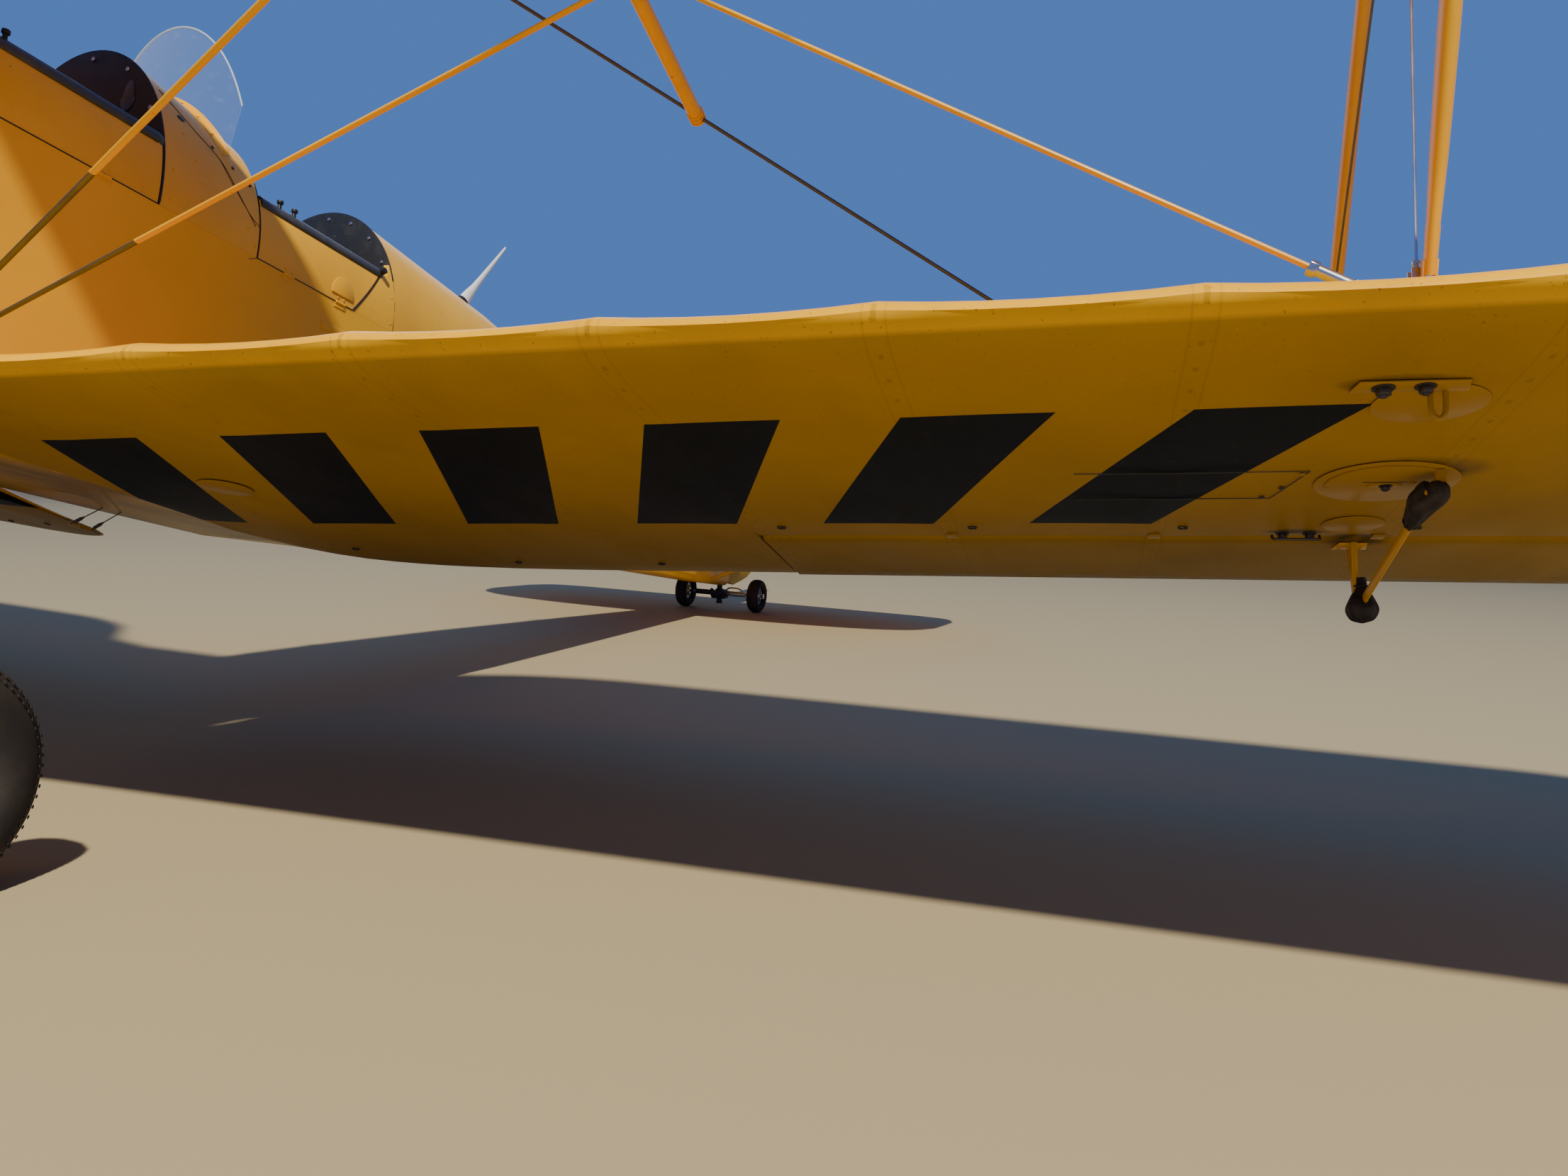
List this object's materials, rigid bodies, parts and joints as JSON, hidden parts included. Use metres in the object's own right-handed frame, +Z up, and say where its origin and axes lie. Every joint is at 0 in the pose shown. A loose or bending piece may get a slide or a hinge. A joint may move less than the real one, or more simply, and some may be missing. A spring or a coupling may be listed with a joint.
{
  "type": "two-seat open-cockpit training biplane on a tail dolly",
  "caption": "Light biplane with two open cockpits, wire-braced swept wings, a wooden propeller and a fixed undercarriage, tail held on a small wheeled dolly.",
  "frame": {"origin": "on the ground, midway along the length and the span, under the middle of the box round the parked aircraft", "axes": "+X to port along the span, +Y aft along the fuselage, +Z up; the aircraft stands nose up by 12.6 degrees as it parks"},
  "size_m": [8.941, 7.2546, 2.6539],
  "materials": {
    "aerial_white": "white whip",
    "dolly_paint": "light blue-grey paint",
    "engine_metal": "dull grey cast metal",
    "fabric_skin": "doped and varnished cloth, yellow, glossy",
    "hub_steel": "machined steel",
    "pipe_steel": "heat-stained steel",
    "screen_clear": "clear curved sheet",
    "seat_leather": "dark brown hide",
    "steel_wire": "streamlined bracing wire",
    "tyre_rubber": "black rubber",
    "varnished_wood": "dark varnished laminations",
    "yellow_paint": "glossy yellow enamel"
  },
  "bodies": {
    "airframe": {"cockpit_hull": "yellow_paint", "front_decking": "yellow_paint", "middle_decking": "yellow_paint", "rear_fuselage": "yellow_paint", "cowling": "yellow_paint", "engine": "engine_metal", "fuel_tank": "yellow_paint", "upper_wing_left": "fabric_skin", "upper_wing_right": "fabric_skin", "lower_wing_left": "fabric_skin", "lower_wing_right": "fabric_skin", "interplane_strut_front_left": "yellow_paint", "interplane_strut_front_right": "yellow_paint", "interplane_strut_rear_left": "yellow_paint", "interplane_strut_rear_right": "yellow_paint", "cabane_left": "yellow_paint", "cabane_right": "yellow_paint", "flying_wires_left": "steel_wire", "flying_wires_right": "steel_wire", "landing_wires_left": "steel_wire", "landing_wires_right": "steel_wire", "tailplane": "fabric_skin", "fin": "fabric_skin", "tail_strut_left": "yellow_paint", "tail_strut_right": "yellow_paint", "tail_skid": "steel_wire", "undercarriage_left": "yellow_paint", "undercarriage_right": "yellow_paint", "exhaust_pipe": "pipe_steel", "windscreen_front": "screen_clear", "windscreen_rear": "screen_clear", "seat_front": "seat_leather", "seat_rear": "seat_leather", "aerial": "aerial_white", "dolly_frame": "dolly_paint"},
    "propeller": {"propeller": "varnished_wood", "propeller_shaft": "hub_steel"},
    "wheel_left": {"tyre_left": "tyre_rubber", "wheel_hub_left": "yellow_paint"},
    "wheel_right": {"tyre_right": "tyre_rubber", "wheel_hub_right": "yellow_paint"},
    "dolly_wheel_left": {"dolly_wheel_left": "tyre_rubber"},
    "dolly_wheel_right": {"dolly_wheel_right": "tyre_rubber"},
    "aileron_left": {"aileron_left": "fabric_skin"},
    "aileron_right": {"aileron_right": "fabric_skin"},
    "aileron_crank_left": {"aileron_crank_left": "yellow_paint"},
    "aileron_crank_right": {"aileron_crank_right": "yellow_paint"},
    "aileron_rod_left": {"aileron_rod_left": "yellow_paint"},
    "aileron_rod_right": {"aileron_rod_right": "yellow_paint"},
    "elevator": {"elevator": "fabric_skin"},
    "rudder": {"rudder": "fabric_skin"},
    "door_front_left": {"door_front_left": "yellow_paint"},
    "door_front_right": {"door_front_right": "yellow_paint"},
    "door_rear_left": {"door_rear_left": "yellow_paint"},
    "door_rear_right": {"door_rear_right": "yellow_paint"},
    "cowl_door_left": {"cowl_door_left": "yellow_paint"},
    "cowl_door_right": {"cowl_door_right": "yellow_paint"}
  },
  "joints": [
    {"name": "propeller_spin", "type": "hinge", "parent": "airframe", "child": "propeller", "pos_m": [0, -3.53868, 1.79004], "axis": [0, 0.9759, -0.2181], "continuous": true},
    {"name": "wheel_spin_left", "type": "hinge", "parent": "airframe", "child": "wheel_left", "pos_m": [0.798, -2.248, 0.23], "axis": [1, 0, 0], "continuous": true},
    {"name": "dolly_wheel_spin_left", "type": "hinge", "parent": "airframe", "child": "dolly_wheel_left", "pos_m": [0.238, 2.867, 0.1], "axis": [1, 0, 0], "continuous": true},
    {"name": "aileron_hinge_left", "type": "hinge", "parent": "airframe", "child": "aileron_left", "pos_m": [2.9102, -0.8626, 0.7336], "axis": [0.9948, 0.0847, 0.0566], "range_deg": [-15, 25]},
    {"name": "aileron_rod_foot_left", "type": "hinge", "parent": "aileron_left", "child": "aileron_rod_left", "pos_m": [3.0726, -0.8977, 0.5967], "axis": [0.9948, 0.0847, 0.0566], "range_deg": [-26, 16]},
    {"name": "aileron_crank_pivot_left", "type": "hinge", "parent": "airframe", "child": "aileron_crank_left", "pos_m": [3.0607, -1.2478, 0.8332], "axis": [-0.0779, 0.283, 0.956], "range_deg": [-28, 46]},
    {"name": "door_front_hinge_left", "type": "hinge", "parent": "airframe", "child": "door_front_left", "pos_m": [0.33, -1.61071, 1.44413], "axis": [0, 0.9759, -0.2181], "range_deg": [0, 160]},
    {"name": "door_rear_hinge_left", "type": "hinge", "parent": "airframe", "child": "door_rear_left", "pos_m": [0.33, -0.86803, 1.27813], "axis": [0, 0.9759, -0.2181], "range_deg": [0, 160]},
    {"name": "cowl_door_hinge_left", "type": "hinge", "parent": "airframe", "child": "cowl_door_left", "pos_m": [0.27925, -2.806, 1.6365], "axis": [-0.0972, -0.9713, 0.2171], "range_deg": [0, 95]},
    {"name": "wheel_spin_right", "type": "hinge", "parent": "airframe", "child": "wheel_right", "pos_m": [-0.798, -2.248, 0.23], "axis": [1, 0, 0], "continuous": true},
    {"name": "dolly_wheel_spin_right", "type": "hinge", "parent": "airframe", "child": "dolly_wheel_right", "pos_m": [-0.238, 2.867, 0.1], "axis": [1, 0, 0], "continuous": true},
    {"name": "aileron_hinge_right", "type": "hinge", "parent": "airframe", "child": "aileron_right", "pos_m": [-2.9102, -0.8626, 0.7336], "axis": [0.9948, -0.0847, -0.0566], "range_deg": [-15, 25]},
    {"name": "aileron_rod_foot_right", "type": "hinge", "parent": "aileron_right", "child": "aileron_rod_right", "pos_m": [-3.0726, -0.8977, 0.5967], "axis": [0.9948, -0.0847, -0.0566], "range_deg": [-26, 16]},
    {"name": "aileron_crank_pivot_right", "type": "hinge", "parent": "airframe", "child": "aileron_crank_right", "pos_m": [-3.0607, -1.2478, 0.8332], "axis": [-0.0779, -0.283, -0.956], "range_deg": [-28, 46]},
    {"name": "door_front_hinge_right", "type": "hinge", "parent": "airframe", "child": "door_front_right", "pos_m": [-0.33, -1.61071, 1.44413], "axis": [0, -0.9759, 0.2181], "range_deg": [0, 160]},
    {"name": "door_rear_hinge_right", "type": "hinge", "parent": "airframe", "child": "door_rear_right", "pos_m": [-0.33, -0.86803, 1.27813], "axis": [0, -0.9759, 0.2181], "range_deg": [0, 160]},
    {"name": "cowl_door_hinge_right", "type": "hinge", "parent": "airframe", "child": "cowl_door_right", "pos_m": [-0.27925, -2.806, 1.6365], "axis": [-0.0972, 0.9713, -0.2171], "range_deg": [0, 95]},
    {"name": "elevator_hinge", "type": "hinge", "parent": "airframe", "child": "elevator", "pos_m": [0, 2.79621, 0.46214], "axis": [1, 0, 0], "range_deg": [-22, 28]},
    {"name": "rudder_hinge", "type": "hinge", "parent": "airframe", "child": "rudder", "pos_m": [0, 2.88377, 0.04705], "axis": [0, 0.2181, 0.9759], "range_deg": [-24, 24]}
  ],
  "couplings": [
    {"joint": "aileron_rod_foot_left", "follows": "aileron_hinge_left", "ratio": -1},
    {"joint": "aileron_crank_pivot_left", "follows": "aileron_hinge_left", "ratio": 1.8},
    {"joint": "aileron_rod_foot_right", "follows": "aileron_hinge_right", "ratio": -1},
    {"joint": "aileron_crank_pivot_right", "follows": "aileron_hinge_right", "ratio": 1.8}
  ]
}
